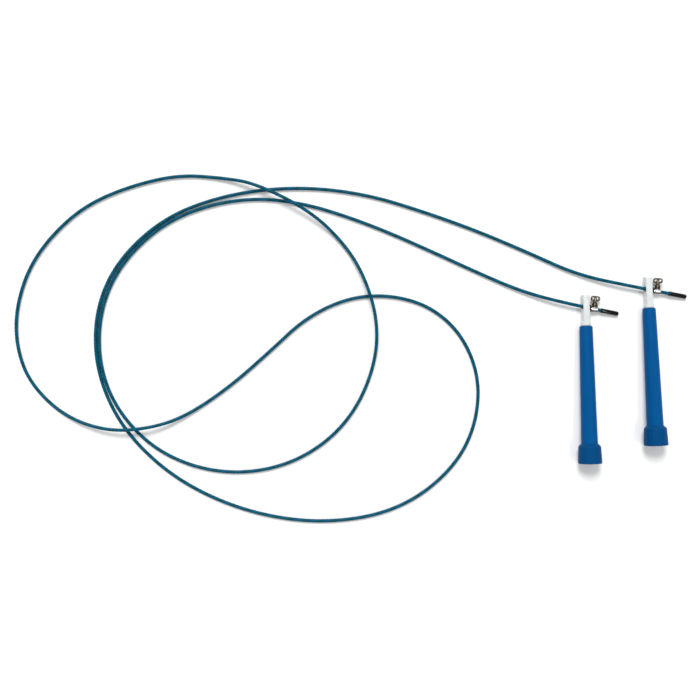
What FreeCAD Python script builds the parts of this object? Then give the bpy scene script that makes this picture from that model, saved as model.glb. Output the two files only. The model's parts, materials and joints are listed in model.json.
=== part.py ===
"""Speed jump rope lying in loose loops: two swivel handles and one coated cable.

Millimetres. +X to the right, +Y towards the handles' tips, +Z up, floor at Z = 0.
The origin is the bottom centre of the box round the two handles.
"""
import FreeCAD, Part
import math
import os

V = FreeCAD.Vector

# ---- where each handle lies: centre of its butt end on the plan, and how far its tip leans left ----
HANDLES = {
    "left": {"butt": (-29.0, -81.8), "heading": 1.2},
    "right": {"butt": (29.0, -65.9), "heading": 2.28},
}

# ---- handle, as distances from the butt end along its axis, and radii ----
HANDLE_LENGTH = 148.6
GRIP_TIP = 121.0
GRIP_TIP_RADIUS = 5.7
GRIP_NECK_RADIUS = 7.2
GRIP_EDGE = 1.0
CAP_TOP = 17.5
CAP_TOP_RADIUS = 7.5
SHOULDER = 15.0
SHOULDER_RADIUS = 9.8
SHOULDER_EDGE = 0.5
RIM = 0.9
RIM_RADIUS = 10.5
RIM_EDGE = 0.8
PLUG_RADIUS = 6.9
PLUG_BOTTOM = 3.5
GRIP_BORE_RADIUS = 5.2
GRIP_BORE_TOP = 90.0

# ---- the small rounding or chamfer that the turned pieces share ----
SMALL_EDGE = 0.3

# ---- ball bearings, 4 x 9 x 4 ----
BEARING_BORE_RADIUS = 2.0
BEARING_RADIUS = 4.5
BEARING_WIDTH = 4.0
INNER_RING_RADIUS = 2.7
OUTER_RING_BORE_RADIUS = 3.8
BALL_PITCH_RADIUS = 3.25
BALL_RADIUS = 0.75
BALL_CLEARANCE = 0.05
BALL_COUNT = 7
BEARING_SEAT_DEPTH = 0.4
BEARING_GAP = 16.0
LAND_RADIUS = 3.9
FRONT_BEARING = GRIP_TIP - BEARING_SEAT_DEPTH - BEARING_WIDTH
REAR_BEARING = FRONT_BEARING - BEARING_GAP - BEARING_WIDTH

# ---- axle screw, M4, its washer and the spacer between the inner rings ----
SCREW_RADIUS = 1.98
SCREW_REACH = 10.0
SCREW_HEAD_RADIUS = 3.5
SCREW_HEAD_HEIGHT = 2.6
SCREW_SOCKET = 2.5
SCREW_CHAMFER = 0.4
AXLE_WASHER_RADIUS = 2.95
AXLE_WASHER_THICKNESS = 0.5

# ---- swivel stem: a round nylon post with two flats and an eye for the cable ----
STEM_RADIUS = 4.5
STEM_FLATS = 5.7
STEM_GAP = 0.3
STEM_COLLAR = 3.5
STEM_TOP_EDGE = 1.2
EYE = 137.65
EYE_WAIST_RADIUS = 1.65
EYE_MOUTH_RADIUS = 2.35

# ---- cable, and the pieces on each of its two tails, as distances along the tail from the eye ----
CABLE_DIAMETER = 2.85
CABLE_RADIUS = CABLE_DIAMETER / 2
TAIL_WASHER_RADIUS = 3.2
TAIL_WASHER_BORE = 1.85
TAIL_WASHER_THICKNESS = 1.8
CLAMP_CENTRE = 8.5
CLAMP_LENGTH = 5.3
CLAMP_BORE = 1.8
COLLAR_RADIUS = 2.2
BOSS_RADIUS = 2.9
BOSS_TOP_RADIUS = 2.3
BOSS_TOP = 5.5
BOSS_EDGE = 0.5
RUNNING_CLEARANCE = 0.05
END_CAP_RADIUS = 2.0
END_CAP_LENGTH = 16.4
END_CAP_WALL = 1.7
END_CAP_ROUND = 1.7

# ---- wing screw, M3: heights are measured from the cable's centre ----
STUD_RADIUS = 1.5
STUD_TIP = 1.7
STUD_SHOULDER = 5.8
STUD_NECK_RADIUS = 1.1
STUD_TOP = 8.6
WING_TURN = {"left": 0, "right": -25}
WING_BOTTOM = 5.9
WING_TOP = 11.6
WEB_BOTTOM = 6.5
WEB_SIDE = (3.9, 8.6)
WEB_TOP = (2.0, 11.3)
WING_HUB_RADIUS = 1.9
WING_HUB_TOP = 9.4
WING_THICKNESS = 1.6
WING_LOBE_RADIUS = 2.15
WING_LOBE_OFFSET = 2.0
WING_HOLE_RADIUS = 0.8

# ---- the cable's route, from the right tail's end to the left tail's end ----
FLOOR = CABLE_RADIUS
HUMP = 7.4
HIGH_HUMP = 7.8
ROUTE = [
    # right tail, straight through the stem's eye, and down to the floor
    (56.8, 65.45, 2.1), (10.8, 73.85, 6.09), (-38, 84.5, 2.2),
    # outer strand, over the top of the loops and down their left side
    (-83, 105, FLOOR), (-128, 124, FLOOR), (-174, 140.5, FLOOR), (-221, 155, FLOOR),
    (-269, 162, FLOOR), (-317, 161, FLOOR), (-363, 152, FLOOR), (-403.5, 135.5, FLOOR),
    (-436.5, 108, FLOOR), (-457.5, 77, FLOOR), (-467, 41, FLOOR), (-465, 1.5, FLOOR),
    (-451, -36, FLOOR), (-428, -67.5, FLOOR),
    # round the bottom of the outer loop and up its right side
    (-394, -96.5, FLOOR), (-352, -118, FLOOR), (-307, -131, FLOOR), (-260, -135, FLOOR),
    (-212, -128, FLOOR), (-174, -109.5, FLOOR), (-143, -79.5, FLOOR), (-127.5, -44.5, FLOOR),
    (-125.5, -5, FLOOR), (-140.5, 31.5, FLOOR), (-168, 56.5, FLOOR), (-204, 67, FLOOR),
    # back across the middle, and over the two strands at the bottom left
    (-242, 64.5, FLOOR), (-279.5, 46.5, FLOOR), (-311, 17, FLOOR), (-346, -14, FLOOR),
    (-384, -40, FLOOR), (-415, -51, HUMP), (-454, -54, HUMP),
    # up the far left side
    (-494, -41, FLOOR), (-524, -12, FLOOR), (-536, 19, FLOOR), (-537, 53, FLOOR),
    (-526, 90, FLOOR), (-505, 120, FLOOR), (-475, 146.5, FLOOR), (-435.5, 163.5, FLOOR),
    # over the two strands at the top, then over the middle strand
    (-393, 173.5, FLOOR), (-355, 171, FLOOR), (-323, 165, HIGH_HUMP), (-274, 140, HIGH_HUMP),
    (-243.5, 110.5, FLOOR), (-227, 82, HUMP), (-216, 46, HUMP),
    # round the bottom of the inner loop
    (-217, 9, FLOOR), (-232.5, -31.5, FLOOR), (-258.5, -62.5, FLOOR), (-295, -84, FLOOR),
    (-338, -92, FLOOR), (-380, -86, FLOOR), (-418, -67, FLOOR),
    # inner strand, up beside the outer one
    (-447.5, -34.5, FLOOR), (-462, 2, FLOOR), (-463.5, 41, FLOOR), (-454, 75.5, FLOOR),
    (-434, 105.5, FLOOR), (-402, 132.5, FLOOR), (-361.5, 148, FLOOR),
    # across to the left handle, and the left tail through its eye
    (-321, 153, FLOOR), (-281, 148, FLOOR), (-244, 137, FLOOR), (-206, 122.5, FLOOR),
    (-166.5, 105, FLOOR), (-127.5, 87, FLOOR), (-87, 69.5, 2.2), (-44.5, 58.1, 6.29), (-3.5, 50.32, 2.05),
]
ARC_SHARE = 0.45


# ---- small helpers ----

def export(name, shape):
    """Write one piece as parts/NAME.step, after a check of its solids."""
    for solid in shape.Solids:
        if not solid.isValid():
            raise ValueError(name + " is not a valid solid")
    shape.exportStep("parts/" + name + ".step")
    print("%-28s %3d solid(s) %9.2f mm3" % (name, len(shape.Solids), shape.Volume))


def turned(outline):
    """Solid of revolution about Z from a closed outline of (radius, height) corners."""
    corners = [V(radius, 0, height) for radius, height in outline]
    wire = Part.makePolygon(corners + corners[:1])
    return Part.Face(wire).revolve(V(0, 0, 0), V(0, 0, 1), 360)


def ring_edges(shape, radius, height):
    """The circular edges of a turned shape at one radius and height."""
    found = []
    for edge in shape.Edges:
        if isinstance(edge.Curve, Part.Circle):
            centre = edge.Curve.Center
            if abs(edge.Curve.Radius - radius) < 1e-6 and abs(centre.z - height) < 1e-6:
                found.append(edge)
    return found


def rounded(shape, size, *rings):
    """Round the ring edges given as (radius, height) pairs."""
    edges = [edge for radius, height in rings for edge in ring_edges(shape, radius, height)]
    return shape.makeFillet(size, edges)


def chamfered(shape, size, *rings):
    """Chamfer the ring edges given as (radius, height) pairs."""
    edges = [edge for radius, height in rings for edge in ring_edges(shape, radius, height)]
    return shape.makeChamfer(size, edges)


def tube(radius, bore, bottom, top):
    """A plain ring about Z."""
    return turned([(bore, bottom), (radius, bottom), (radius, top), (bore, top)])


def rod(radius, start, end, axis):
    """A cylinder between two distances along an axis through the origin."""
    return Part.makeCylinder(radius, end - start, axis * start, axis)


# ---- frames: where a handle lies, and where its cable tail runs ----

def handle_pitch():
    """Angle down to the tip of a handle that rests on its rim and on its grip's tip edge."""
    contact_span = GRIP_TIP - GRIP_EDGE - RIM
    return math.atan2(RIM_RADIUS - GRIP_TIP_RADIUS, contact_span)


def handle_placement(side):
    """Local Z runs from the butt end to the tip, and local X towards the tail."""
    heading = math.radians(HANDLES[side]["heading"])
    pitch = handle_pitch()
    axis = V(-math.sin(heading) * math.cos(pitch), math.cos(heading) * math.cos(pitch), -math.sin(pitch))
    across = V(math.cos(heading), math.sin(heading), 0)
    butt_x, butt_y = HANDLES[side]["butt"]
    butt_height = RIM_RADIUS * math.cos(pitch) + RIM * math.sin(pitch)
    return FreeCAD.Placement(V(butt_x, butt_y, butt_height), FreeCAD.Rotation(across, V(), axis, "ZXY"))


def tail_ends(side):
    """The two route points that the straight tail of one side runs between, its end first."""
    first, second = (ROUTE[0], ROUTE[1]) if side == "right" else (ROUTE[-1], ROUTE[-2])
    return V(*first), V(*second)


def tail_placement(side):
    """Origin in the stem's eye; local X runs out along the tail, local Y along the wing screw."""
    end, bend = tail_ends(side)
    out = (end - bend).normalize()
    screw = V(0, 0, 1).cross(out).normalize()
    eye = handle_placement(side).multVec(V(0, 0, EYE))
    on_tail = bend + out * (eye - bend).dot(out)
    return FreeCAD.Placement(on_tail, FreeCAD.Rotation(out, screw, V(), "XYZ"))


def stem_placement(side):
    """The handle's frame, swivelled about its axis until local X follows the tail."""
    handle = handle_placement(side)
    axis = handle.Rotation.multVec(V(0, 0, 1))
    out = tail_placement(side).Rotation.multVec(V(1, 0, 0))
    return FreeCAD.Placement(handle.Base, FreeCAD.Rotation(out, V(), axis, "ZXY"))


def clamp_placement(side):
    """Origin in the cable at the clamp's centre; local X along its bore, local Y along its screw.

    The loose clamp takes up half of the angle between the cable and the square face of the stem.
    """
    out = tail_placement(side).Rotation.multVec(V(1, 0, 0))
    square = stem_placement(side).Rotation.multVec(V(1, 0, 0))
    bore = (out + square).normalize()
    screw = V(0, 0, 1).cross(bore).normalize()
    centre = tail_placement(side).multVec(V(CLAMP_CENTRE, 0, 0))
    return FreeCAD.Placement(centre, FreeCAD.Rotation(bore, screw, V(), "XYZ"))


def tail_length(side):
    """Length of the cable from the eye to its end."""
    end, _ = tail_ends(side)
    return (end - tail_placement(side).Base).Length


# ---- handle pieces, in the handle's own frame ----

def grip():
    """Tapered hollow grip, with a plug for the butt cap and two bearing seats at the tip."""
    front_seat = FRONT_BEARING
    rear_seat_top = REAR_BEARING + BEARING_WIDTH
    solid = turned([
        (GRIP_BORE_RADIUS, PLUG_BOTTOM), (PLUG_RADIUS, PLUG_BOTTOM), (PLUG_RADIUS, CAP_TOP),
        (GRIP_NECK_RADIUS, CAP_TOP), (GRIP_TIP_RADIUS, GRIP_TIP), (BEARING_RADIUS, GRIP_TIP),
        (BEARING_RADIUS, front_seat), (LAND_RADIUS, front_seat), (LAND_RADIUS, rear_seat_top),
        (BEARING_RADIUS, rear_seat_top), (BEARING_RADIUS, GRIP_BORE_TOP), (GRIP_BORE_RADIUS, GRIP_BORE_TOP),
    ])
    return rounded(solid, GRIP_EDGE, (GRIP_TIP_RADIUS, GRIP_TIP))


def butt_cap():
    """Flared cap pressed over the grip's plug, with a flat end to stand on."""
    solid = turned([
        (0, 0), (RIM_RADIUS, 0), (RIM_RADIUS, RIM), (SHOULDER_RADIUS, SHOULDER),
        (CAP_TOP_RADIUS, CAP_TOP), (PLUG_RADIUS, CAP_TOP), (PLUG_RADIUS, PLUG_BOTTOM), (0, PLUG_BOTTOM),
    ])
    solid = rounded(solid, RIM_EDGE, (RIM_RADIUS, 0))
    return rounded(solid, SHOULDER_EDGE, (SHOULDER_RADIUS, SHOULDER))


def ball_groove(bottom):
    """The ring-shaped track that the balls of one bearing run in."""
    middle = V(0, 0, bottom + BEARING_WIDTH / 2)
    return Part.makeTorus(BALL_PITCH_RADIUS, BALL_RADIUS + BALL_CLEARANCE, middle, V(0, 0, 1))


def bearing_outer(bottom):
    """Outer ring of one bearing."""
    ring = tube(BEARING_RADIUS, OUTER_RING_BORE_RADIUS, bottom, bottom + BEARING_WIDTH)
    return ring.cut(ball_groove(bottom))


def bearing_inner(bottom):
    """Inner ring of one bearing."""
    ring = tube(INNER_RING_RADIUS, BEARING_BORE_RADIUS, bottom, bottom + BEARING_WIDTH)
    return ring.cut(ball_groove(bottom))


def bearing_balls(bottom):
    """The balls of one bearing."""
    balls = []
    for index in range(BALL_COUNT):
        angle = 2 * math.pi * index / BALL_COUNT
        centre = V(BALL_PITCH_RADIUS * math.cos(angle), BALL_PITCH_RADIUS * math.sin(angle),
                   bottom + BEARING_WIDTH / 2)
        balls.append(Part.makeSphere(BALL_RADIUS, centre))
    return Part.makeCompound(balls)


def spacer():
    """Sleeve that keeps the two inner rings apart."""
    return tube(INNER_RING_RADIUS, BEARING_BORE_RADIUS, REAR_BEARING + BEARING_WIDTH, FRONT_BEARING)


def axle_washer():
    """Small washer under the axle screw's head, narrow enough to miss the outer ring."""
    return tube(AXLE_WASHER_RADIUS, BEARING_BORE_RADIUS, REAR_BEARING - AXLE_WASHER_THICKNESS, REAR_BEARING)


def axle_screw():
    """Socket screw through both bearings into the stem."""
    seat = REAR_BEARING - AXLE_WASHER_THICKNESS
    head_bottom = seat - SCREW_HEAD_HEIGHT
    end = GRIP_TIP + SCREW_REACH
    solid = turned([
        (0, head_bottom), (SCREW_HEAD_RADIUS, head_bottom), (SCREW_HEAD_RADIUS, seat),
        (SCREW_RADIUS, seat), (SCREW_RADIUS, end), (0, end),
    ])
    solid = chamfered(solid, SCREW_CHAMFER, (SCREW_HEAD_RADIUS, head_bottom), (SCREW_RADIUS, end))
    corner_radius = SCREW_SOCKET / math.sqrt(3)
    corners = []
    for index in range(7):
        angle = math.pi / 3 * index
        corners.append(V(corner_radius * math.cos(angle), corner_radius * math.sin(angle), head_bottom))
    socket = Part.Face(Part.makePolygon(corners)).extrude(V(0, 0, SCREW_HEAD_HEIGHT / 2))
    return solid.cut(socket)


def swivel_stem():
    """Nylon post: a foot on the front inner ring, a round collar, two flats and a flared eye."""
    foot = FRONT_BEARING + BEARING_WIDTH
    collar = GRIP_TIP + STEM_GAP
    screw_end = GRIP_TIP + SCREW_REACH
    post = turned([
        (BEARING_BORE_RADIUS, foot), (INNER_RING_RADIUS, foot), (INNER_RING_RADIUS, collar),
        (STEM_RADIUS, collar), (STEM_RADIUS, HANDLE_LENGTH), (0, HANDLE_LENGTH),
        (0, screw_end), (BEARING_BORE_RADIUS, screw_end),
    ])
    post = rounded(post, STEM_TOP_EDGE, (STEM_RADIUS, HANDLE_LENGTH))
    post = rounded(post, SMALL_EDGE, (STEM_RADIUS, collar))
    flats_start = collar + STEM_COLLAR
    for direction in (1, -1):
        slab = Part.makeBox(STEM_RADIUS, 4 * STEM_RADIUS, HANDLE_LENGTH)
        slab.translate(V(STEM_FLATS / 2, -2 * STEM_RADIUS, flats_start))
        if direction < 0:
            slab = slab.mirror(V(0, 0, 0), V(1, 0, 0))
        post = post.cut(slab)
    return post.cut(stem_eye())


def stem_eye():
    """The eye: a hole along X, waisted in the middle and flared to both flats."""
    half = STEM_FLATS / 2
    centre = V(0, 0, EYE)
    right = Part.makeCone(EYE_WAIST_RADIUS, EYE_MOUTH_RADIUS, half, centre, V(1, 0, 0))
    left = Part.makeCone(EYE_WAIST_RADIUS, EYE_MOUTH_RADIUS, half, centre, V(-1, 0, 0))
    return right.fuse(left)


# ---- clamp and wing screw, in the clamp's own frame ----

def clamp_body():
    """Collar on the cable with a tapered boss for the wing screw."""
    half = CLAMP_LENGTH / 2
    collar = turned([(0, -half), (COLLAR_RADIUS, -half), (COLLAR_RADIUS, half), (0, half)])
    collar = along_x(chamfered(collar, SMALL_EDGE, (COLLAR_RADIUS, -half), (COLLAR_RADIUS, half)))
    boss = turned([(0, 0), (BOSS_RADIUS, 0), (BOSS_TOP_RADIUS, BOSS_TOP), (0, BOSS_TOP)])
    boss = along_y(rounded(boss, BOSS_EDGE, (BOSS_TOP_RADIUS, BOSS_TOP)))
    bore = rod(CLAMP_BORE, -CLAMP_LENGTH, CLAMP_LENGTH, V(1, 0, 0))
    thread = rod(STUD_RADIUS + RUNNING_CLEARANCE, 0, 2 * BOSS_TOP, V(0, 1, 0))
    return collar.fuse(boss).removeSplitter().cut(bore).cut(thread)


def clamp_screw():
    """Threaded stud of the wing screw, pressing on the cable, with a neck for the wings."""
    stud = turned([
        (0, STUD_TIP), (STUD_RADIUS, STUD_TIP), (STUD_RADIUS, STUD_SHOULDER),
        (STUD_NECK_RADIUS, STUD_SHOULDER), (STUD_NECK_RADIUS, STUD_TOP), (0, STUD_TOP),
    ])
    return along_y(chamfered(stud, SMALL_EDGE, (STUD_RADIUS, STUD_TIP)))


def wing_head(side):
    """Two pierced wings on a hub, turned by finger and thumb."""
    half = WING_THICKNESS / 2
    lobe_height = WING_TOP - WING_LOBE_RADIUS
    sides = [(WING_HUB_RADIUS, WEB_BOTTOM), WEB_SIDE, WEB_TOP]
    corners = [V(across, half, up) for across, up in sides]
    corners += [V(-across, half, up) for across, up in reversed(sides)]
    head = Part.Face(Part.makePolygon(corners + corners[:1])).extrude(V(0, -WING_THICKNESS, 0))
    head = head.fuse(rod(WING_HUB_RADIUS, WING_BOTTOM, WING_HUB_TOP, V(0, 0, 1)))
    holes = []
    for offset in (-WING_LOBE_OFFSET, WING_LOBE_OFFSET):
        face = V(offset, half, lobe_height)
        head = head.fuse(Part.makeCylinder(WING_LOBE_RADIUS, WING_THICKNESS, face, V(0, -1, 0)))
        start = V(offset, WING_HUB_RADIUS, lobe_height)
        holes.append(Part.makeCylinder(WING_HOLE_RADIUS, 2 * WING_HUB_RADIUS, start, V(0, -1, 0)))
    socket_top = STUD_TOP + 2 * RUNNING_CLEARANCE
    socket = rod(STUD_NECK_RADIUS + RUNNING_CLEARANCE, WING_BOTTOM, socket_top, V(0, 0, 1))
    head = head.removeSplitter().cut(holes + [socket])
    head.rotate(V(0, 0, 0), V(0, 0, 1), WING_TURN[side])
    return along_y(head)


def along_x(shape):
    """Turn a piece made about Z so that its Z runs along the local X."""
    turn = FreeCAD.Rotation(V(), V(0, 1, 0), V(1, 0, 0), "ZYX")
    return placed(shape, FreeCAD.Placement(V(), turn))


def along_y(shape):
    """Turn a piece made about Z so that its Z runs along the local Y."""
    turn = FreeCAD.Rotation(V(1, 0, 0), V(), V(0, 1, 0), "ZXY")
    return placed(shape, FreeCAD.Placement(V(), turn))


# ---- pieces centred on a cable tail, in the tail's own frame ----

def end_cap(side):
    """Moulded cap closed over the cable's end."""
    cable_end = tail_length(side)
    end = cable_end + END_CAP_WALL
    start = end - END_CAP_LENGTH
    solid = turned([
        (CABLE_RADIUS, start), (END_CAP_RADIUS, start), (END_CAP_RADIUS, end), (0, end),
        (0, cable_end), (CABLE_RADIUS, cable_end),
    ])
    solid = rounded(solid, END_CAP_ROUND, (END_CAP_RADIUS, end))
    return along_x(rounded(solid, SMALL_EDGE, (END_CAP_RADIUS, start)))


def tail_washer(side):
    """Black washer flat against the stem, centred on the cable where it passes through."""
    stem = stem_placement(side)
    tail = tail_placement(side)
    face = STEM_FLATS / 2 + RUNNING_CLEARANCE
    middle = face + TAIL_WASHER_THICKNESS / 2
    origin = stem.inverse().multVec(tail.Base)
    out = stem.inverse().Rotation.multVec(tail.Rotation.multVec(V(1, 0, 0)))
    centre = origin + out * ((middle - origin.x) / out.x)
    ring = tube(TAIL_WASHER_RADIUS, TAIL_WASHER_BORE, 0, TAIL_WASHER_THICKNESS)
    ring = rounded(ring, SMALL_EDGE, (TAIL_WASHER_RADIUS, 0), (TAIL_WASHER_RADIUS, TAIL_WASHER_THICKNESS))
    seat = FreeCAD.Placement(V(face, centre.y, centre.z), FreeCAD.Rotation())
    return placed(placed(along_x(ring), seat), stem)


def placed(shape, placement):
    """A copy of a shape moved into place, with the move written into its geometry."""
    moved = shape.copy()
    moved.Placement = placement.multiply(moved.Placement)
    return moved


# ---- cable ----

def rounded_path(points):
    """Straight runs joined by tangent arcs, each as large as its two runs allow."""
    edges = []
    radii = []
    start = points[0]
    for before, corner, after in zip(points, points[1:], points[2:]):
        incoming = corner - before
        outgoing = after - corner
        shorter = min(incoming.Length, outgoing.Length)
        turn = incoming.getAngle(outgoing)
        cut = ARC_SHARE * shorter
        radius = cut / math.tan(turn / 2)
        radii.append(radius)
        incoming.normalize()
        outgoing.normalize()
        arc_start = corner - incoming * cut
        arc_end = corner + outgoing * cut
        to_centre = (outgoing - incoming).normalize()
        arc_middle = corner + to_centre * (radius / math.cos(turn / 2) - radius)
        edges.append(Part.LineSegment(start, arc_start).toShape())
        edges.append(Part.Arc(arc_start, arc_middle, arc_end).toShape())
        start = arc_end
    edges.append(Part.LineSegment(start, points[-1]).toShape())
    return Part.Wire(edges), radii


def cable():
    """One round tube along the route, checked against its section and length."""
    points = [V(*point) for point in ROUTE]
    path, radii = rounded_path(points)
    runs = [(b - a).Length for a, b in zip(points, points[1:])]
    direction = (points[1] - points[0]).normalize()
    section = Part.Wire(Part.makeCircle(CABLE_RADIUS, points[0], direction))
    body = path.makePipeShell([section], True, True)
    expected = math.pi * CABLE_RADIUS ** 2 * path.Length
    print("cable length %.1f mm, runs %.1f to %.1f mm" % (path.Length, min(runs), max(runs)))
    print("arc radii, mm: " + " ".join("%.0f" % radius for radius in radii))
    print("smallest radius %.1f mm = %.1f diameters" % (min(radii), min(radii) / CABLE_DIAMETER))
    print("tube volume %.1f, section times length %.1f" % (body.Volume, expected))
    return body


def build():
    """Write every piece."""
    os.makedirs("parts", exist_ok=True)
    export("cable", cable())
    for side in HANDLES:
        handle = handle_placement(side)
        tail = tail_placement(side)
        off_centre = tail.Base - handle.multVec(V(0, 0, EYE))
        print("%s tail passes %.2f mm from the centre of the eye" % (side, off_centre.Length))
        in_handle = {
            "grip": grip(),
            "butt_cap": butt_cap(),
            "front_bearing_outer": bearing_outer(FRONT_BEARING),
            "front_bearing_balls": bearing_balls(FRONT_BEARING),
            "front_bearing_inner": bearing_inner(FRONT_BEARING),
            "rear_bearing_outer": bearing_outer(REAR_BEARING),
            "rear_bearing_balls": bearing_balls(REAR_BEARING),
            "rear_bearing_inner": bearing_inner(REAR_BEARING),
            "spacer": spacer(),
            "axle_washer": axle_washer(),
            "axle_screw": axle_screw(),
        }
        on_clamp = {
            "clamp_body": clamp_body(),
            "clamp_screw": clamp_screw(),
            "wing_head": wing_head(side),
        }
        for name, shape in in_handle.items():
            export(side + "_" + name, placed(shape, handle))
        for name, shape in on_clamp.items():
            export(side + "_" + name, placed(shape, clamp_placement(side)))
        export(side + "_swivel_stem", placed(swivel_stem(), stem_placement(side)))
        export(side + "_end_cap", placed(end_cap(side), tail))
        export(side + "_tail_washer", tail_washer(side))


build()
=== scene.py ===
"""Looks of the speed jump rope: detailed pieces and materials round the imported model.

Positions and the cable's route are in metres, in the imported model's frame. The small pieces are
shaped in millimetres in their own frames, and scaled as they are put in place.
"""

import json
import math

import bmesh
import bpy
import numpy as np
from mathutils import Matrix, Vector


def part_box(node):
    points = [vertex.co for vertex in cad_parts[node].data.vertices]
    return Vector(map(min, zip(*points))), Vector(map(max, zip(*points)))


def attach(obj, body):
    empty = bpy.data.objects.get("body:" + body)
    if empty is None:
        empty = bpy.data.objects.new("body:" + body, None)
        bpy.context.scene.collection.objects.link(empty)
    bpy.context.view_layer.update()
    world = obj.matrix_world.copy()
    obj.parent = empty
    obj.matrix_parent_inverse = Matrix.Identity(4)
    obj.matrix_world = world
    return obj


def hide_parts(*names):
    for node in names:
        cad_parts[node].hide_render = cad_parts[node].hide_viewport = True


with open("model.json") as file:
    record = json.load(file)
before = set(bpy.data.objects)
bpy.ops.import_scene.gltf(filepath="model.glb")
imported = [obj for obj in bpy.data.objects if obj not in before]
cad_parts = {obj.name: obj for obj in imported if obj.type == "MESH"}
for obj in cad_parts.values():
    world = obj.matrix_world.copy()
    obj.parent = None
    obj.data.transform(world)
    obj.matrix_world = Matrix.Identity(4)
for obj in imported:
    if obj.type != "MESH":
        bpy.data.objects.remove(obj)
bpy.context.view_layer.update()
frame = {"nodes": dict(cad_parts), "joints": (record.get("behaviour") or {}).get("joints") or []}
JOINTS = {joint["name"]: joint for joint in frame["joints"]}
MM = 0.001
UP = Vector((0, 0, 1))
Z_TO_X = Matrix.Rotation(math.radians(90), 4, "Y")
Z_TO_Y = Matrix.Rotation(math.radians(-90), 4, "X")

# ---- camera, lights and floor, metres ----
CAMERA_AT = (-0.2401, 0.018, 0.865)
CAMERA_LENS = 50
CAMERA_SENSOR = 36
FLOOR_SIZE = 80
FLOOR_WHITENESS = 0.92
SUNS = {
    # degrees from +Y towards +X, degrees up, width in degrees, and its share of the floor's light
    "key": (-12, 51, 26, 0.57),
    "fill": (115, 62.5, 4, 0.13),
}
SKY_GREYS = (
    # a direction's rise, from 0 when level to 1 straight up, and the sky's grey there
    (0.0, 0.95), (0.15, 0.8), (0.3, 0.6), (0.7, 0.75), (0.9, 0.6), (1.0, 0.25),
)
SKY_STRENGTH = 0.84
SKY_LEAN = 0.05  # how much stronger the sky is towards +X, and how much weaker towards -X

# ---- the cable, metres ----
STRANDS = 4
STRAND_CREST = 0.00152
GROOVE_DEPTH = 0.00016
LAY_LENGTH = 0.013
VERTICES_PER_STRAND = 6
RINGS_PER_LAY = 12
RINGS_PER_PATH_POINT = 3
STRAND_TINTS = (
    (0.0, 0.102, 0.212), (0.0, 0.081, 0.157), (0.0, 0.068, 0.096), (0.0, 0.095, 0.132),
)
STRAND_MAP = "strands"

# ---- the cable's route, metres, from the right tail's end to the left tail's end ----
FLOOR = STRAND_CREST  # the height of its centre where it lies on the floor
HUMP = 0.0074  # and where it crosses over other strands
HIGH_HUMP = 0.0078
ROUTE = [
    # right tail, straight through the stem's eye, and down to the floor
    (0.0568, 0.06545, 0.0021), (0.0108, 0.07385, 0.00609), (-0.038, 0.0845, 0.0022),
    # outer strand, over the top of the loops and down their left side
    (-0.083, 0.105, FLOOR), (-0.128, 0.124, FLOOR), (-0.174, 0.1405, FLOOR),
    (-0.221, 0.155, FLOOR), (-0.269, 0.162, FLOOR), (-0.317, 0.161, FLOOR),
    (-0.363, 0.152, FLOOR), (-0.4035, 0.1355, FLOOR), (-0.4365, 0.108, FLOOR),
    (-0.4575, 0.077, FLOOR), (-0.467, 0.041, FLOOR), (-0.465, 0.0015, FLOOR),
    (-0.451, -0.036, FLOOR), (-0.428, -0.0675, FLOOR),
    # round the bottom of the outer loop and up its right side
    (-0.394, -0.0965, FLOOR), (-0.352, -0.118, FLOOR), (-0.307, -0.131, FLOOR),
    (-0.26, -0.135, FLOOR), (-0.212, -0.128, FLOOR), (-0.174, -0.1095, FLOOR),
    (-0.143, -0.0795, FLOOR), (-0.1275, -0.0445, FLOOR), (-0.1255, -0.005, FLOOR),
    (-0.1405, 0.0315, FLOOR), (-0.168, 0.0565, FLOOR), (-0.204, 0.067, FLOOR),
    # back across the middle, and over the two strands at the bottom left
    (-0.242, 0.0645, FLOOR), (-0.2795, 0.0465, FLOOR), (-0.311, 0.017, FLOOR),
    (-0.346, -0.014, FLOOR), (-0.384, -0.04, FLOOR), (-0.415, -0.051, HUMP),
    (-0.454, -0.054, HUMP),
    # up the far left side
    (-0.494, -0.041, FLOOR), (-0.524, -0.012, FLOOR), (-0.536, 0.019, FLOOR),
    (-0.537, 0.053, FLOOR), (-0.526, 0.09, FLOOR), (-0.505, 0.12, FLOOR),
    (-0.475, 0.1465, FLOOR), (-0.4355, 0.1635, FLOOR),
    # over the two strands at the top, then over the middle strand
    (-0.393, 0.1735, FLOOR), (-0.355, 0.171, FLOOR), (-0.323, 0.165, HIGH_HUMP),
    (-0.274, 0.14, HIGH_HUMP), (-0.2435, 0.1105, FLOOR), (-0.227, 0.082, HUMP),
    (-0.216, 0.046, HUMP),
    # round the bottom of the inner loop
    (-0.217, 0.009, FLOOR), (-0.2325, -0.0315, FLOOR), (-0.2585, -0.0625, FLOOR),
    (-0.295, -0.084, FLOOR), (-0.338, -0.092, FLOOR), (-0.38, -0.086, FLOOR),
    (-0.418, -0.067, FLOOR),
    # inner strand, up beside the outer one
    (-0.4475, -0.0345, FLOOR), (-0.462, 0.002, FLOOR), (-0.4635, 0.041, FLOOR),
    (-0.454, 0.0755, FLOOR), (-0.434, 0.1055, FLOOR), (-0.402, 0.1325, FLOOR),
    (-0.3615, 0.148, FLOOR),
    # across to the left handle, and the left tail through its eye
    (-0.321, 0.153, FLOOR), (-0.281, 0.148, FLOOR), (-0.244, 0.137, FLOOR),
    (-0.206, 0.1225, FLOOR), (-0.1665, 0.105, FLOOR), (-0.1275, 0.087, FLOOR),
    (-0.087, 0.0695, 0.0022), (-0.0445, 0.0581, 0.00629), (-0.0035, 0.05032, 0.00205),
]
TAIL_END = {"right": Vector(ROUTE[0]), "left": Vector(ROUTE[-1])}

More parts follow.
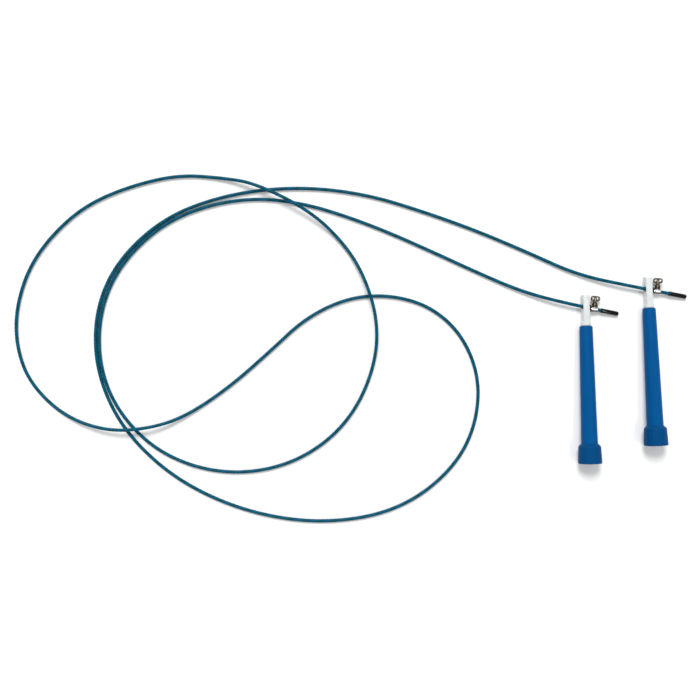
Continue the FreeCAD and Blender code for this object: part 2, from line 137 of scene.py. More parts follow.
# ---- the handle, millimetres, its heights from the butt's flat face ----
RIM_RADIUS = 10.5
BUTT_FLOOR = 3.5
SHOULDER = 17.5
SHOULDER_RADIUS = 7.2
SLEEVE_RADIUS = 6.9
BORE_RADIUS = 5.2
SEAT_RADIUS = 4.5
RIB_RADIUS = 3.9
REAR_SEAT_FOOT = 90
RIB_FOOT = 100.6
RIB_TOP = 116.6
GRIP_TIP = 121
TIP_RADIUS = 5.7

# ---- the stem, millimetres, its heights from the same face ----
STEM_FOOT = 120.6
FOOT_RADIUS = 2.7
STEM_COLLAR = 121.3
STEM_TOP = 148.6
STEM_RADIUS = 4.5
AXLE_HOLE_RADIUS = 2.0
AXLE_HOLE_TOP = 131
FLATS_FROM = 124.8
FLATS_TO = 150
FLATS_REACH = 6
HALF_ACROSS_FLATS = 2.85
EYE_HEIGHT = 137.65
EYE_RADIUS = 1.65
EYE_FLARE_RADIUS = 2.9
EYE_REACH = 3.6

# ---- the tail's fittings, millimetres ----
WASHER_HALF = 0.9
WASHER_BORE = 1.85
WASHER_RADIUS = 3.2
COLLAR_HALF = 2.65
COLLAR_RADIUS = 2.2
CABLE_HOLE_RADIUS = 1.8
CABLE_HOLE_REACH = 4
BOSS_FOOT_RADIUS = 2.9
BOSS_TOP_RADIUS = 2.3
BOSS_TOP = 5.5
THREAD_RADIUS = 1.5
THREAD_DEPTH = 0.28
THREAD_PITCH = 0.5
SCREW_HOLE_RADIUS = 1.55
SCREW_HOLE_REACH = 6
STUD_FROM = 1.7
STUD_TO = 5.8
WING_THICKNESS = 1.6
WING_HOLE_AT = (2.0, 9.45)  # from the screw's line, and up it from the cable
WING_HOLE_RADIUS = 0.8
CAP_LENGTH = 16.4
CAP_WALL = 1.7
CAP_BORE = 1.5
CAP_RADIUS = 1.97
CAP_LIP_RADIUS = 2.05

# ---- how far each wing head is turned about its screw, degrees ----
WING_TURN = {"left": 0, "right": -25}

# ---- mesh fineness ----
ROUND_SEGMENTS = 96
SMALL_SEGMENTS = 64
FINE_SEGMENTS = 48
RINGS_PER_THREAD = 8
SHARP_ANGLE = math.radians(38)  # an edge that turns less than this is smoothed over


# ---- frames ----

def placement(origin, x_axis, y_axis, z_axis):
    """Matrix that puts a piece's own axes at an origin in the model."""
    matrix = Matrix((x_axis, y_axis, z_axis)).transposed().to_4x4()
    matrix.translation = origin
    return matrix


def handle_frame(side):
    """Z runs up the handle from its butt end, X towards the cable's tail."""
    spin = JOINTS[side + "_handle_spin"]
    axis = Vector(spin["axis"]).normalized()
    across = axis.cross(UP).normalized()
    return placement(Vector(spin["pos_m"]), across, axis.cross(across), axis)


def tail_frame(side):
    """Origin in the cable at the clamp's centre, X out along the tail."""
    origin = Vector(JOINTS[side + "_wing_turn"]["pos_m"])
    out = Vector(JOINTS[side + "_clamp_slide"]["axis"]).normalized()
    level = UP.cross(out).normalized()
    return placement(origin, out, level, out.cross(level))


def stem_frame(side):
    """The handle's frame, swivelled about its axis until X follows the tail."""
    handle = handle_frame(side)
    axis = handle.col[2].xyz
    out = tail_frame(side).col[0].xyz
    across = (out - axis * out.dot(axis)).normalized()
    return placement(handle.translation, across, axis.cross(across), axis)


def clamp_frame(side):
    """The tail's origin, Y along the wing screw, and X half way from the tail to the stem's square."""
    turn = JOINTS[side + "_wing_turn"]
    screw = Vector(turn["axis"]).normalized()
    bore = (tail_frame(side).col[0].xyz + stem_frame(side).col[0].xyz).normalized()
    return placement(Vector(turn["pos_m"]), bore, screw, bore.cross(screw))


# ---- outlines and meshes, millimetres ----

def softened(corners, closed, steps=5):
    """Outline of (x, y) points, with each (x, y, rounding) corner turned into an arc."""
    points = []
    count = len(corners)
    for index, (x, y, size) in enumerate(corners):
        at_end = not closed and index in (0, count - 1)
        here = Vector((x, y))
        if size == 0 or at_end:
            points.append(here)
            continue
        before = (Vector(corners[index - 1][:2]) - here).normalized()
        after = (Vector(corners[(index + 1) % count][:2]) - here).normalized()
        half = before.angle(after) / 2
        centre = here + (before + after).normalized() * (size / math.sin(half))
        start = here + before * (size / math.tan(half)) - centre
        end = here + after * (size / math.tan(half)) - centre
        sweep = start.angle_signed(end)
        for step in range(steps + 1):
            angle = -sweep * step / steps
            points.append(centre + Matrix.Rotation(angle, 2) @ start)
    return points


def new_object(name, data):
    """An object with this data, linked to the scene."""
    made = bpy.data.objects.new(name, data)
    bpy.context.scene.collection.objects.link(made)
    return made


def ring_of(shape, radius, height, segments):
    """A ring of new vertices about Z."""
    ring = []
    for index in range(segments):
        angle = 2 * math.pi * index / segments
        ring.append(shape.verts.new((radius * math.cos(angle), radius * math.sin(angle), height)))
    return ring


def finished_mesh(name, shape):
    """A mesh from a bmesh, with its normals outwards."""
    bmesh.ops.remove_doubles(shape, verts=shape.verts, dist=1e-6)
    bmesh.ops.recalc_face_normals(shape, faces=shape.faces)
    mesh = bpy.data.meshes.new(name)
    shape.to_mesh(mesh)
    shape.free()
    return mesh


def revolved(name, outline, closed, segments):
    """Outline of (radius, height) points turned about Z. An open one starts and ends on the axis."""
    shape = bmesh.new()
    rings = []
    for radius, height in outline:
        if radius < 1e-6:
            rings.append([shape.verts.new((0, 0, height))])
        else:
            rings.append(ring_of(shape, radius, height, segments))
    pairs = list(zip(rings, rings[1:]))
    if closed:
        pairs.append((rings[-1], rings[0]))
    for lower, upper in pairs:
        for index in range(segments):
            following = (index + 1) % segments
            corners = [lower[index % len(lower)], lower[following % len(lower)],
                       upper[following % len(upper)], upper[index % len(upper)]]
            unique = list(dict.fromkeys(corners))
            if len(unique) > 2:
                shape.faces.new(unique)
    return finished_mesh(name, shape)


def lathe(name, corners, closed, segments=ROUND_SEGMENTS):
    """(radius, height, rounding) corners, softened and turned about Z."""
    return revolved(name, softened(corners, closed), closed, segments)


def plate(name, outline, thickness):
    """Flat piece in the XY plane, half its thickness each side."""
    shape = bmesh.new()
    face = shape.faces.new([shape.verts.new((x, y, -thickness / 2)) for x, y in outline])
    sides = bmesh.ops.extrude_face_region(shape, geom=[face])
    moved = [item for item in sides["geom"] if isinstance(item, bmesh.types.BMVert)]
    bmesh.ops.translate(shape, verts=moved, vec=(0, 0, thickness))
    return finished_mesh(name, shape)


def turned(mesh, matrix):
    """The same mesh, turned or moved by a matrix."""
    mesh.transform(matrix)
    return mesh


def cylinder(radius, bottom, top):
    """Plain round tool for cutting holes."""
    outline = [(0, bottom), (radius, bottom), (radius, top), (0, top)]
    return revolved("tool", outline, closed=False, segments=SMALL_SEGMENTS)


def block(low, high):
    """Plain square tool for cutting flats."""
    outline = [(low[0], low[1]), (high[0], low[1]), (high[0], high[1]), (low[0], high[1])]
    mesh = plate("tool", outline, high[2] - low[2])
    return turned(mesh, Matrix.Translation((0, 0, (low[2] + high[2]) / 2)))


def shaped(mesh, cuts, edge, joins=()):
    """The mesh with others joined on and cut away, and its sharp edges rounded."""
    holder = new_object("shaping", mesh)
    helpers = [holder]
    for operation, tools in (("UNION", joins), ("DIFFERENCE", cuts)):
        for tool_mesh in tools:
            tool = new_object("tool", tool_mesh)
            helpers.append(tool)
            modifier = holder.modifiers.new("shape", "BOOLEAN")
            modifier.operation = operation
            modifier.solver = "EXACT"
            modifier.object = tool
    modifier = holder.modifiers.new("edges", "BEVEL")
    modifier.width = edge
    modifier.segments = 3
    modifier.limit_method = "ANGLE"
    modifier.angle_limit = SHARP_ANGLE
    modifier.use_clamp_overlap = True
    graph = bpy.context.evaluated_depsgraph_get()
    result = bpy.data.meshes.new_from_object(holder.evaluated_get(graph))
    for helper in helpers:
        bpy.data.objects.remove(helper)
    return result


def add_piece(name, mesh, matrix, body, finish, cad_node):
    """Put a millimetre mesh in place as a piece that stands for its CAD node and rides its body."""
    mesh.transform(Matrix.Scale(MM, 4))
    mesh.shade_smooth()
    mesh.set_sharp_from_angle(angle=SHARP_ANGLE)
    mesh.materials.clear()
    mesh.materials.append(finish)
    piece = new_object(name, mesh)
    piece.matrix_world = matrix
    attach(piece, body)
    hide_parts(cad_node)
    return piece


# ---- node helpers for the materials ----

def feed(tree, socket, value):
    """Link a socket to another node's output, or set its value."""
    if isinstance(value, bpy.types.NodeSocket):
        tree.links.new(value, socket)
    elif socket.type == "RGBA":
        socket.default_value = (*value, 1)
    else:
        socket.default_value = value


def node(tree, kind, **inputs):
    """Add a node, and link or set its inputs by name."""
    made = tree.nodes.new(kind)
    for key, value in inputs.items():
        feed(tree, made.inputs[key.replace("_", " ")], value)
    return made


def new_material(name, **values):
    """A node material. Values the same all over are set on the shader's own sockets."""
    made = bpy.data.materials.new(name)
    made.use_nodes = True
    tree = made.node_tree
    shader = tree.nodes["Principled BSDF"]
    for key, value in values.items():
        feed(tree, shader.inputs[key.replace("_", " ")], value)
    return made, tree, shader


def millimetres(tree, stretch=(1, 1, 1)):
    """The piece's own coordinates in millimetres, stretched along its axes."""
    place = node(tree, "ShaderNodeTexCoord").outputs["Object"]
    scale = [value / MM for value in stretch]
    return node(tree, "ShaderNodeMapping", Vector=place, Scale=scale).outputs["Vector"]


def own_axes(tree):
    """The piece's own X, Y and Z in millimetres, one by one."""
    return node(tree, "ShaderNodeSeparateXYZ", Vector=millimetres(tree)).outputs


def noise(tree, scale, detail, stretch=(1, 1, 1)):
    """Noise between 0 and 1, its scale in features per millimetre."""
    where = millimetres(tree, stretch)
    return node(tree, "ShaderNodeTexNoise", Vector=where, Scale=scale, Detail=detail).outputs["Fac"]


def ramp(tree, factor, *stops, interpolation="LINEAR"):
    """Colour ramp from (position, colour) stops."""
    made = node(tree, "ShaderNodeValToRGB", Fac=factor)
    made.color_ramp.interpolation = interpolation
    elements = made.color_ramp.elements
    while len(elements) < len(stops):
        elements.new(0.5)
    for element, (position, colour) in zip(elements, stops):
        element.position = position
        element.color = (*colour, 1)
    return made.outputs["Color"]


def mapped(tree, value, low, high, to_low, to_high):
    """A value moved from one range to another and held inside it."""
    made = node(tree, "ShaderNodeMapRange", Value=value)
    for index, limit in ((1, low), (2, high), (3, to_low), (4, to_high)):
        made.inputs[index].default_value = limit
    return made.outputs["Result"]


def math_node(tree, operation, first, second=0.0):
    """One arithmetic step."""
    made = tree.nodes.new("ShaderNodeMath")
    made.operation = operation
    feed(tree, made.inputs[0], first)
    feed(tree, made.inputs[1], second)
    return made.outputs["Value"]


def mixed(tree, factor, first, second):
    """Two colours mixed by a factor."""
    made = tree.nodes.new("ShaderNodeMix")
    made.data_type = "RGBA"
    feed(tree, made.inputs[0], factor)
    feed(tree, made.inputs[6], first)
    feed(tree, made.inputs[7], second)
    return made.outputs[2]


def coloured(tree, shader, colour):
    """Give the shader its colour."""
    tree.links.new(colour, shader.inputs["Base Color"])


def roughened(tree, shader, pattern, smoothest, roughest):
    """Roughness that follows a pattern, which lies mostly between 0.3 and 0.7."""
    tree.links.new(mapped(tree, pattern, 0.3, 0.7, smoothest, roughest), shader.inputs["Roughness"])


def bumped(tree, shader, *layers):
    """Bump layers of (height, depth in millimetres), one over another."""
    normal = None
    for height, depth in layers:
        made = node(tree, "ShaderNodeBump", Height=height, Distance=depth * MM)
        if normal is not None:
            tree.links.new(normal, made.inputs["Normal"])
        normal = made.outputs["Normal"]
    tree.links.new(normal, shader.inputs["Normal"])


# ---- materials: noise scales per millimetre, places along a piece in millimetres ----

def blue_plastic(name, painted_shade_factor):
    """Deep blue moulded plastic: fine texture, faint flow streaks, worn lighter at its two ends."""
    # a factor below 1 darkens all these colours as painted shade, on a copy of the same plastic
    made, tree, shader = new_material(name, Specular_IOR_Level=0.05)
    streaks = noise(tree, 0.9, 2, (1, 1, 0.04))
    colour = ramp(tree, streaks, (0.3, (0.0, 0.068 * painted_shade_factor, 0.226 * painted_shade_factor)),
                  (0.7, (0.0, 0.080 * painted_shade_factor, 0.256 * painted_shade_factor)))
    patches = mapped(tree, noise(tree, 0.12, 2), 0.35, 0.7, 0, 0.35)
    colour = mixed(tree, patches, colour, (0.0, 0.065 * painted_shade_factor, 0.205 * painted_shade_factor))

    along = own_axes(tree)["Z"]
    near_tip = mapped(tree, along, GRIP_TIP - 1.4, GRIP_TIP - 0.2, 0, 1)
    near_butt = mapped(tree, along, 1.6, 0.4, 0, 1)
    scuffs = mapped(tree, noise(tree, 1.6, 6), 0.54, 0.7, 0, 0.22)
    worn = math_node(tree, "MULTIPLY", scuffs, math_node(tree, "MAXIMUM", near_tip, near_butt))
    coloured(tree, shader, mixed(tree, worn, colour, (0.03, 0.14, 0.34)))
    roughened(tree, shader, noise(tree, 0.5, 4), 0.36, 0.5)
    bumped(tree, shader, (noise(tree, 4.5, 2), 0.015), (streaks, 0.02))
    return made


def white_nylon():
    """Off-white nylon: slightly see-through, faint moulding clouds."""
    made, tree, shader = new_material(
        "stem_nylon", Subsurface_Weight=0.15, Subsurface_Scale=0.001, Specular_IOR_Level=0.45)
    clouds = noise(tree, 0.35, 3)
    coloured(tree, shader, ramp(tree, clouds, (0.3, (0.60, 0.635, 0.635)), (0.7, (0.66, 0.69, 0.69))))
    roughened(tree, shader, noise(tree, 1.2, 4), 0.3, 0.45)
    bumped(tree, shader, (noise(tree, 5.0, 2), 0.008), (clouds, 0.03))
    return made


def cable_coat():
    """Smooth coating over four wire strands, blue ones beside teal ones, with painted shade in the grooves.
    """
    made, tree, shader = new_material(
        "cable_coat", Roughness=0.35, Specular_IOR_Level=0.05, Coat_Weight=0.04, Coat_Roughness=0.14)
    place = node(tree, "ShaderNodeUVMap")
    place.uv_map = STRAND_MAP
    around = node(tree, "ShaderNodeSeparateXYZ", Vector=place.outputs["UV"]).outputs["Y"]
    stops = [(index / STRANDS, tint) for index, tint in enumerate(STRAND_TINTS)]
    tints = ramp(tree, around, *stops, interpolation="CONSTANT")

    in_strand = math_node(tree, "FRACT", math_node(tree, "MULTIPLY", around, float(STRANDS)))
    from_crest = math_node(tree, "ABSOLUTE", math_node(tree, "SUBTRACT", in_strand, 0.5))
    # painted shade: the colour darkens towards each groove between two strands
    groove = mapped(tree, from_crest, 0.26, 0.5, 0, 0.85)
    colour = mixed(tree, groove, tints, (0.0, 0.018, 0.03))
    cloudy = mapped(tree, noise(tree, 0.06, 2), 0.35, 0.7, 0, 0.3)
    coloured(tree, shader, mixed(tree, cloudy, colour, (0.002, 0.08, 0.125)))
    bumped(tree, shader, (noise(tree, 1.8, 2), 0.012))
    return made


def black_cap():
    """Glossy black moulded vinyl, with fine handling marks."""
    made, tree, shader = new_material("end_cap_black", Specular_IOR_Level=0.24)
    dust = mapped(tree, noise(tree, 2.2, 5), 0.55, 0.75, 0, 0.35)
    coloured(tree, shader, mixed(tree, dust, (0.0005, 0.0005, 0.0006), (0.005, 0.005, 0.0055)))
    roughened(tree, shader, noise(tree, 0.8, 4), 0.07, 0.13)
    bumped(tree, shader, (noise(tree, 0.9, 2), 0.006), (noise(tree, 6.0, 2), 0.001))
    return made


def black_rubber():
    """Matt black rubber with a dusty bloom."""
    made, tree, shader = new_material("washer_rubber", Specular_IOR_Level=0.15)
    bloom = noise(tree, 1.5, 5)
    coloured(tree, shader, ramp(tree, bloom, (0.35, (0.003, 0.003, 0.003)), (0.75, (0.014, 0.014, 0.0135))))
    roughened(tree, shader, bloom, 0.6, 0.85)
    bumped(tree, shader, (noise(tree, 5.0, 3), 0.02))
    return made


def bright_nickel():
    """Nickel plate: bright round the cable, browner up the screw's boss, with a painted dark reflection
    along its lower side.
    """
    made, tree, shader = new_material("nickel_bright", Metallic=1.0)
    patches = noise(tree, 0.9, 4)
    bright = ramp(tree, patches, (0.3, (0.90, 0.89, 0.87)), (0.75, (0.76, 0.74, 0.71)))
    brown = ramp(tree, patches, (0.3, (0.05, 0.042, 0.032)), (0.75, (0.14, 0.122, 0.095)))
    up_boss = own_axes(tree)["Y"]
    colour = mixed(tree, mapped(tree, up_boss, 1.1, 1.5, 0, 1), bright, brown)
    # painted reflection: the lower side is darkened as if it mirrored dark surroundings
    underside_painted_reflection = mapped(tree, up_boss, -1.0, -1.4, 0, 1)
    coloured(tree, shader, mixed(tree, underside_painted_reflection, colour, (0.025, 0.018, 0.015)))
    lines = noise(tree, 2.0, 4, (0.3, 3, 3))
    roughened(tree, shader, lines, 0.14, 0.3)
    bumped(tree, shader, (lines, 0.004), (patches, 0.02))
    return made


def dark_nickel():
    """Dark cast nickel, lighter where fingers rub it, with painted shade that makes it nearly black towards
    its rims and side walls.
    """
    made, tree, shader = new_material("nickel_dark", Metallic=1.0)
    rubbed = ramp(tree, noise(tree, 0.7, 5), (0.32, (0.14, 0.12, 0.09)),
                  (0.55, (0.25, 0.22, 0.175)), (0.78, (0.46, 0.43, 0.36)))
    place = own_axes(tree)
    across = math_node(tree, "SUBTRACT", math_node(tree, "ABSOLUTE", place["X"]), WING_HOLE_AT[0])
    up = math_node(tree, "SUBTRACT", place["Y"], WING_HOLE_AT[1])
    squares = math_node(tree, "ADD", math_node(tree, "MULTIPLY", across, across),
                        math_node(tree, "MULTIPLY", up, up))
    from_hole = math_node(tree, "SQRT", squares)
    through = math_node(tree, "ABSOLUTE", place["Z"])
    # painted shade: nearly black towards each wing's outline and over the side walls, mostly kept off the
    # hub
    outline_painted_shade = mapped(tree, from_hole, 1.45, 1.9, 0, 0.85)
    side_wall_painted_shade = mapped(tree, through, 0.76, 0.6, 0, 0.85)
    off_hub = mapped(tree, through, 0.9, 1.3, 1, 0.2)
    rims = math_node(tree, "MULTIPLY", math_node(tree, "MAXIMUM", outline_painted_shade, side_wall_painted_shade), off_hub)
    coloured(tree, shader, mixed(tree, rims, rubbed, (0.02, 0.017, 0.013)))
    roughened(tree, shader, noise(tree, 2.5, 4), 0.2, 0.42)
    bumped(tree, shader, (noise(tree, 1.6, 3), 0.05), (noise(tree, 7.0, 2), 0.006))
    return made


def bearing_steel():
    """Polished steel with a thin film of oil."""
    made, tree, shader = new_material("bearing_steel", Metallic=1.0)
    film = noise(tree, 0.8, 3)
    coloured(tree, shader, ramp(tree, film, (0.3, (0.60, 0.60, 0.60)), (0.7, (0.47, 0.46, 0.44))))
    roughened(tree, shader, film, 0.15, 0.32)
    bumped(tree, shader, (noise(tree, 3.0, 3), 0.004))
    return made


# ---- camera, lights and floor ----

def camera():
    """Straight above the rope, looking down."""
    view = bpy.data.cameras.new("camera")
    view.lens = CAMERA_LENS
    view.sensor_width = CAMERA_SENSOR
    holder = new_object("camera", view)
    holder.location = CAMERA_AT
    bpy.context.scene.camera = holder


def sun(name, azimuth, elevation, width, share):
    """A sun lamp that gives the floor its share of light. Its angles are in degrees."""
    azimuth = math.radians(azimuth)
    elevation = math.radians(elevation)
    lamp = bpy.data.lights.new(name, "SUN")
    lamp.angle = math.radians(width)
    lamp.energy = share * math.pi / (FLOOR_WHITENESS * math.sin(elevation))
    level = math.cos(elevation)
    towards = Vector((level * math.sin(azimuth), level * math.cos(azimuth), math.sin(elevation)))
    new_object(name, lamp).rotation_euler = towards.to_track_quat("Z", "Y").to_euler()


def sky():
    """Pale grey all round, darker overhead, and a little stronger towards +X."""
    world = bpy.data.worlds.new("studio")
    bpy.context.scene.world = world
    world.use_nodes = True
    tree = world.node_tree
    direction = node(tree, "ShaderNodeTexCoord").outputs["Generated"]
    parts = node(tree, "ShaderNodeSeparateXYZ", Vector=direction).outputs
    greys = ramp(tree, parts["Z"], *[(rise, (grey, grey, grey)) for rise, grey in SKY_GREYS])
    strength = mapped(tree, parts["X"], -1, 1, (1 - SKY_LEAN) * SKY_STRENGTH, (1 + SKY_LEAN) * SKY_STRENGTH)
    background = tree.nodes["Background"]
    tree.links.new(greys, background.inputs["Color"])
    tree.links.new(strength, background.inputs["Strength"])


def floor():
    """A wide white floor, not attached to any of the rope's bodies."""
    half = FLOOR_SIZE / 2
    corners = [(-half, -half, 0), (half, -half, 0), (half, half, 0), (-half, half, 0)]
    mesh = bpy.data.meshes.new("floor")
    mesh.from_pydata(corners, [], [(0, 1, 2, 3)])
    white = (FLOOR_WHITENESS, FLOOR_WHITENESS, FLOOR_WHITENESS)
    made, _, _ = new_material("floor_white", Base_Color=white, Roughness=0.9, Specular_IOR_Level=0.1)
    mesh.materials.append(made)
    new_object("floor", mesh)


def studio():
    """Camera, key light from beyond the handles, small fill, sky and floor."""
    camera()
    bpy.context.scene.view_settings.view_transform = "Standard"
    for name, values in SUNS.items():
        sun(name, *values)
    sky()
    floor()


# ---- cable ----

def route_points():
    """Evenly spaced points read from the smooth spline through the route, and their distances along it."""
    curve = bpy.data.curves.new("route", "CURVE")
    curve.dimensions = "3D"
    curve.resolution_u = 40
    spline = curve.splines.new("NURBS")
    spline.points.add(len(ROUTE) - 1)
    for point, place in zip(spline.points, ROUTE):
        point.co = (*place, 1)
    spline.order_u = 3
    spline.use_endpoint_u = True
    holder = new_object("route", curve)
    graph = bpy.context.evaluated_depsgraph_get()
    line = bpy.data.meshes.new_from_object(holder.evaluated_get(graph))
    points = np.array([vertex.co for vertex in line.vertices])
    bpy.data.objects.remove(holder)
    bpy.data.meshes.remove(line)

    steps = np.linalg.norm(np.diff(points, axis=0), axis=1)
    reached = np.concatenate([[0], np.cumsum(steps)])
    count = int(reached[-1] / LAY_LENGTH * RINGS_PER_LAY) + 1
    distances = np.linspace(0, reached[-1], count)
    evenly = [np.interp(distances, reached, points[:, axis]) for axis in range(3)]
    return np.stack(evenly, axis=1), distances


def strand_rings(points, distances, around):
    """Rings of vertices round the line, lobed by the strands and turning with their lay."""
    along = np.gradient(points, axis=0)
    along /= np.linalg.norm(along, axis=1)[:, None]
    side = np.cross(along, (0, 0, 1))
    side /= np.linalg.norm(side, axis=1)[:, None]
    top = np.cross(side, along)
    phase = np.arange(around) / around
    in_groove = np.abs(np.mod(phase * STRANDS, 1) - 0.5) * 2
    radius = STRAND_CREST - GROOVE_DEPTH * in_groove ** 3
    angle = 2 * np.pi * (phase[None, :] + distances[:, None] / LAY_LENGTH)
    spread = np.cos(angle)[..., None] * side[:, None, :] + np.sin(angle)[..., None] * top[:, None, :]
    return (points[:, None, :] + radius[None, :, None] * spread).reshape(-1, 3)


def strands_mesh(points, distances):
    """Twisted strands under a thin coat, made as one lobed tube whose grooves wind round it."""
    around = STRANDS * VERTICES_PER_STRAND
    rows, columns = np.meshgrid(np.arange(len(points) - 1), np.arange(around), indexing="ij")
    this_ring = rows * around
    next_ring = this_ring + around
    following = (columns + 1) % around
    faces = np.stack([next_ring + columns, next_ring + following,
                      this_ring + following, this_ring + columns], axis=-1).reshape(-1, 4)
    first_end = list(range(around))
    last_end = [(len(points) - 1) * around + index for index in reversed(first_end)]
    vertices = strand_rings(points, distances, around)
    mesh = bpy.data.meshes.new("cable_strands")
    mesh.from_pydata(vertices.tolist(), [], faces.tolist() + [first_end, last_end])

    turns = distances / LAY_LENGTH
    u = np.stack([turns[rows + 1], turns[rows + 1], turns[rows], turns[rows]], axis=-1)
    v = np.stack([columns, columns + 1, columns + 1, columns], axis=-1) / around
    on_ends = np.zeros((2 * around, 2))
    coordinates = np.concatenate([np.stack([u, v], axis=-1).reshape(-1, 2), on_ends])
    layer = mesh.uv_layers.new(name=STRAND_MAP)
    layer.data.foreach_set("uv", coordinates.astype(np.float32).ravel())
    return mesh


def cable(finish):
    """The whole cable as one piece, and the points that it follows."""
    points, distances = route_points()
    mesh = strands_mesh(points, distances)
    mesh.shade_smooth()
    mesh.materials.append(finish)
    piece = new_object("cable_strands", mesh)
    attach(piece, "rope")
    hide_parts("cable")
    return piece, points[::RINGS_PER_PATH_POINT]


# ---- handle pieces, in the handle's or the stem's frame ----

def grip_mesh():
    """Tapered grip with a rounded tip, a rib between its bearing seats, and a sleeve into the butt."""
    return lathe("grip", [
        (SHOULDER_RADIUS, SHOULDER, 0), (TIP_RADIUS, GRIP_TIP, 1.0), (SEAT_RADIUS, GRIP_TIP, 0.2),
        (SEAT_RADIUS, RIB_TOP, 0), (RIB_RADIUS, RIB_TOP, 0), (RIB_RADIUS, RIB_FOOT, 0),
        (SEAT_RADIUS, RIB_FOOT, 0), (SEAT_RADIUS, REAR_SEAT_FOOT, 0), (BORE_RADIUS, REAR_SEAT_FOOT, 0),
        (BORE_RADIUS, BUTT_FLOOR, 0), (SLEEVE_RADIUS, BUTT_FLOOR, 0), (SLEEVE_RADIUS, SHOULDER, 0),
    ], closed=True)


def butt_mesh():
    """Flared end with a soft shoulder, and a shallow moulded groove in its flat face."""
    groove = [(7.0, 0, 0.15), (7.2, 0.3, 0.1), (8.0, 0.3, 0.1), (8.2, 0, 0.15)]
    return lathe("butt", [
        (0, 0, 0), *groove, (RIM_RADIUS, 0, 0.75), (10.45, 2.0, 0), (9.8, 15, 0.9), (7.35, SHOULDER, 0.35),
        (SLEEVE_RADIUS, SHOULDER, 0), (SLEEVE_RADIUS, BUTT_FLOOR, 0), (0, BUTT_FLOOR, 0),
    ], closed=False)


def stem_mesh():
    """Nylon post with a round collar, two flats and a flared eye for the cable."""
    post = lathe("stem", [
        (0, AXLE_HOLE_TOP, 0), (AXLE_HOLE_RADIUS, AXLE_HOLE_TOP, 0), (AXLE_HOLE_RADIUS, STEM_FOOT, 0),
        (FOOT_RADIUS, STEM_FOOT, 0), (FOOT_RADIUS, STEM_COLLAR, 0), (STEM_RADIUS, STEM_COLLAR, 0.35),
        (STEM_RADIUS, STEM_TOP, 1.4), (0, STEM_TOP, 0),
    ], closed=False)
    flats = [
        block((HALF_ACROSS_FLATS, -FLATS_REACH, FLATS_FROM), (FLATS_REACH, FLATS_REACH, FLATS_TO)),
        block((-FLATS_REACH, -FLATS_REACH, FLATS_FROM), (-HALF_ACROSS_FLATS, FLATS_REACH, FLATS_TO)),
    ]
    eye = lathe("eye", [
        (0, -EYE_REACH, 0), (EYE_FLARE_RADIUS, -EYE_REACH, 0), (EYE_RADIUS, -0.8, 2),
        (EYE_RADIUS, 0.8, 2), (EYE_FLARE_RADIUS, EYE_REACH, 0), (0, EYE_REACH, 0),
    ], closed=False, segments=SMALL_SEGMENTS)
    hole = turned(eye, Matrix.Translation((0, 0, EYE_HEIGHT)) @ Z_TO_X)
    return shaped(post, cuts=flats + [hole], edge=0.3)


def washer_mesh():
    """Round rubber washer about X, with soft edges."""
    washer = lathe("washer", [
        (WASHER_BORE, -WASHER_HALF, 0.2), (WASHER_RADIUS, -WASHER_HALF, 0.35),
        (WASHER_RADIUS, WASHER_HALF, 0.35), (WASHER_BORE, WASHER_HALF, 0.2),
    ], closed=True)
    return turned(washer, Z_TO_X)


# ---- clamp and wing screw, in the clamp's frame ----

def clamp_mesh():
    """Nickel collar on the cable, with a slightly tapered boss for the wing screw."""
    collar = lathe("clamp", [
        (0, -COLLAR_HALF, 0), (COLLAR_RADIUS, -COLLAR_HALF, 0.35),
        (COLLAR_RADIUS, COLLAR_HALF, 0.35), (0, COLLAR_HALF, 0),
    ], closed=False)
    boss = lathe("boss", [
        (0, 0, 0), (BOSS_FOOT_RADIUS, 0, 0), (BOSS_TOP_RADIUS, BOSS_TOP, 0.5), (0, BOSS_TOP, 0),
    ], closed=False)
    cable_hole = cylinder(CABLE_HOLE_RADIUS, -CABLE_HOLE_REACH, CABLE_HOLE_REACH)
    screw_hole = cylinder(SCREW_HOLE_RADIUS, 0, SCREW_HOLE_REACH)
    return shaped(
        turned(collar, Z_TO_X),
        joins=[turned(boss, Z_TO_Y)],
        cuts=[turned(cable_hole, Z_TO_X), turned(screw_hole, Z_TO_Y)],
        edge=0.12)


def stud_mesh():
    """Threaded stud of the wing screw."""
    shape = bmesh.new()
    rings = []
    for height in np.arange(STUD_FROM, STUD_TO + 0.001, THREAD_PITCH / RINGS_PER_THREAD):
        ring = []
        for index in range(FINE_SEGMENTS):
            turn = index / FINE_SEGMENTS
            phase = (height / THREAD_PITCH - turn) % 1
            radius = THREAD_RADIUS - THREAD_DEPTH * abs(2 * phase - 1)
            angle = 2 * math.pi * turn
            ring.append(shape.verts.new((radius * math.cos(angle), radius * math.sin(angle), height)))
        rings.append(ring)
    for lower, upper in zip(rings, rings[1:]):
        for index in range(FINE_SEGMENTS):
            following = (index + 1) % FINE_SEGMENTS
            shape.faces.new((lower[index], lower[following], upper[following], upper[index]))
    shape.faces.new(rings[0][::-1])
    shape.faces.new(rings[-1])
    return turned(finished_mesh("stud", shape), Z_TO_Y)


def wing_hole(across):
    """Tool for one wing's hole, wider at both faces."""
    hole = lathe("hole", [
        (0, -1.2, 0), (1.25, -1.2, 0), (WING_HOLE_RADIUS, -0.45, 0.3),
        (WING_HOLE_RADIUS, 0.45, 0.3), (1.25, 1.2, 0), (0, 1.2, 0),
    ], closed=False, segments=FINE_SEGMENTS)
    return turned(hole, Matrix.Translation((across, WING_HOLE_AT[1], 0)))


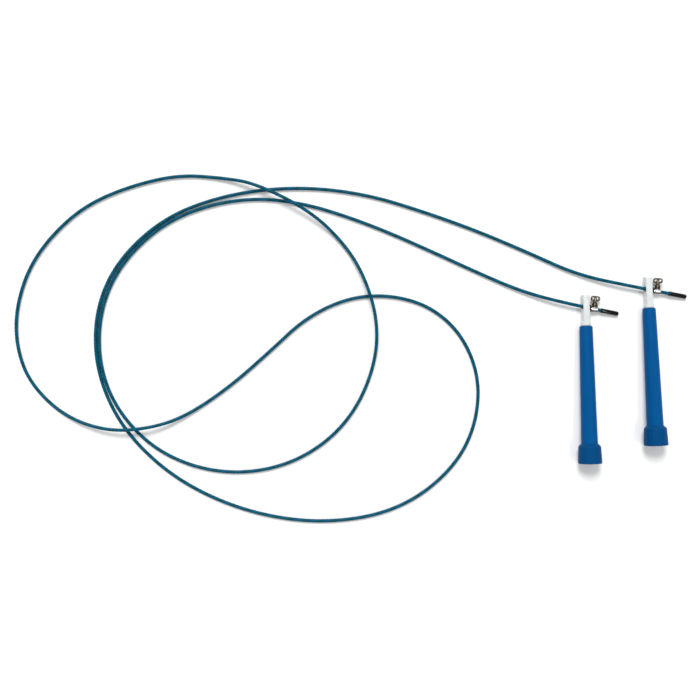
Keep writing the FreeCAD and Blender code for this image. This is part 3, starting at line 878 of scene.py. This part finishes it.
def wing_mesh():
    """Two pierced wings with rounded rims on a waisted hub."""
    outline = softened([
        (1.3, 6.0, 0.3), (1.75, 7.0, 0.9), (4.05, 7.6, 1.1), (4.3, 11.6, 2.0),
        (-4.3, 11.6, 2.0), (-4.05, 7.6, 1.1), (-1.75, 7.0, 0.9), (-1.3, 6.0, 0.3),
    ], closed=True, steps=6)
    hub = lathe("hub", [
        (0, 5.9, 0), (1.9, 5.9, 0.3), (1.5, 8.6, 0.8), (0.9, 10.0, 0.5), (0, 10.0, 0),
    ], closed=False, segments=SMALL_SEGMENTS)
    return shaped(
        plate("wings", outline, WING_THICKNESS),
        joins=[turned(hub, Z_TO_Y)],
        cuts=[wing_hole(-WING_HOLE_AT[0]), wing_hole(WING_HOLE_AT[0])],
        edge=0.3)


# ---- end cap, in the tail's frame ----

def end_cap_mesh(cable_end):
    """Glossy moulded cap closed over the cable's end, with a thicker lip at its mouth."""
    end = cable_end + CAP_WALL
    start = end - CAP_LENGTH
    cap = lathe("end_cap", [
        (CAP_BORE, start, 0.1), (CAP_LIP_RADIUS, start, 0.25), (CAP_LIP_RADIUS, start + 1.1, 0.2),
        (CAP_RADIUS, start + 1.4, 0.3), (CAP_RADIUS + 0.02, end, 1.6), (0, end, 0),
        (0, cable_end, 0), (CAP_BORE, cable_end, 0),
    ], closed=True)
    return turned(cap, Z_TO_X)


# ---- everything in its place ----

def build_side(side, finishes):
    """All the detailed pieces of one handle and its tail. Returns those that go with the cable."""
    handle = handle_frame(side)
    tail = tail_frame(side)
    stem = stem_frame(side)
    clamp = clamp_frame(side)
    wings = clamp @ Matrix.Rotation(math.radians(WING_TURN[side]), 4, "Y")
    low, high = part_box(side + "_tail_washer")
    washer = stem.copy()
    washer.translation = (low + high) / 2
    cable_end = (TAIL_END[side] - tail.translation).dot(tail.col[0].xyz) / MM

    add_piece(side + "_grip_shell", grip_mesh(), handle, side + "_handle",
              finishes["grip"], side + "_grip")
    add_piece(side + "_butt_flare", butt_mesh(), handle, side + "_handle",
              finishes["butt"], side + "_butt_cap")
    add_piece(side + "_stem_post", stem_mesh(), stem, "rope",
              finishes["nylon"], side + "_swivel_stem")
    return [
        add_piece(side + "_washer_ring", washer_mesh(), washer, "rope",
                  finishes["rubber"], side + "_tail_washer"),
        add_piece(side + "_clamp_collar", clamp_mesh(), clamp, side + "_clamp",
                  finishes["bright"], side + "_clamp_body"),
        add_piece(side + "_thread_stud", stud_mesh(), clamp, side + "_screw",
                  finishes["bright"], side + "_clamp_screw"),
        add_piece(side + "_wings_cast", wing_mesh(), wings, side + "_wings",
                  finishes["dark"], side + "_wing_head"),
        add_piece(side + "_end_cap_moulded", end_cap_mesh(cable_end), tail, "rope",
                  finishes["cap"], side + "_end_cap"),
    ]


def finish_cad_nodes(steel):
    """Give the bearing parts and screws, which stay as CAD made them, their steel."""
    for part in frame["nodes"].values():
        if part.hide_render:
            continue
        for index in range(len(part.data.materials)):
            part.data.materials[index] = steel


studio()
finishes = {
    "grip": blue_plastic("grip_blue_plastic", 1.0),
    # the butt's flare is the grip's plastic darkened to 0.74: painted shade
    "butt": blue_plastic("butt_blue_plastic_painted_shade", 0.74),
    "nylon": white_nylon(),
    "rubber": black_rubber(),
    "bright": bright_nickel(),
    "dark": dark_nickel(),
    "cap": black_cap(),
}
strands, centreline = cable(cable_coat())
on_cable = build_side("left", finishes) + build_side("right", finishes)
finish_cad_nodes(bearing_steel())

tail_frame("right").translation
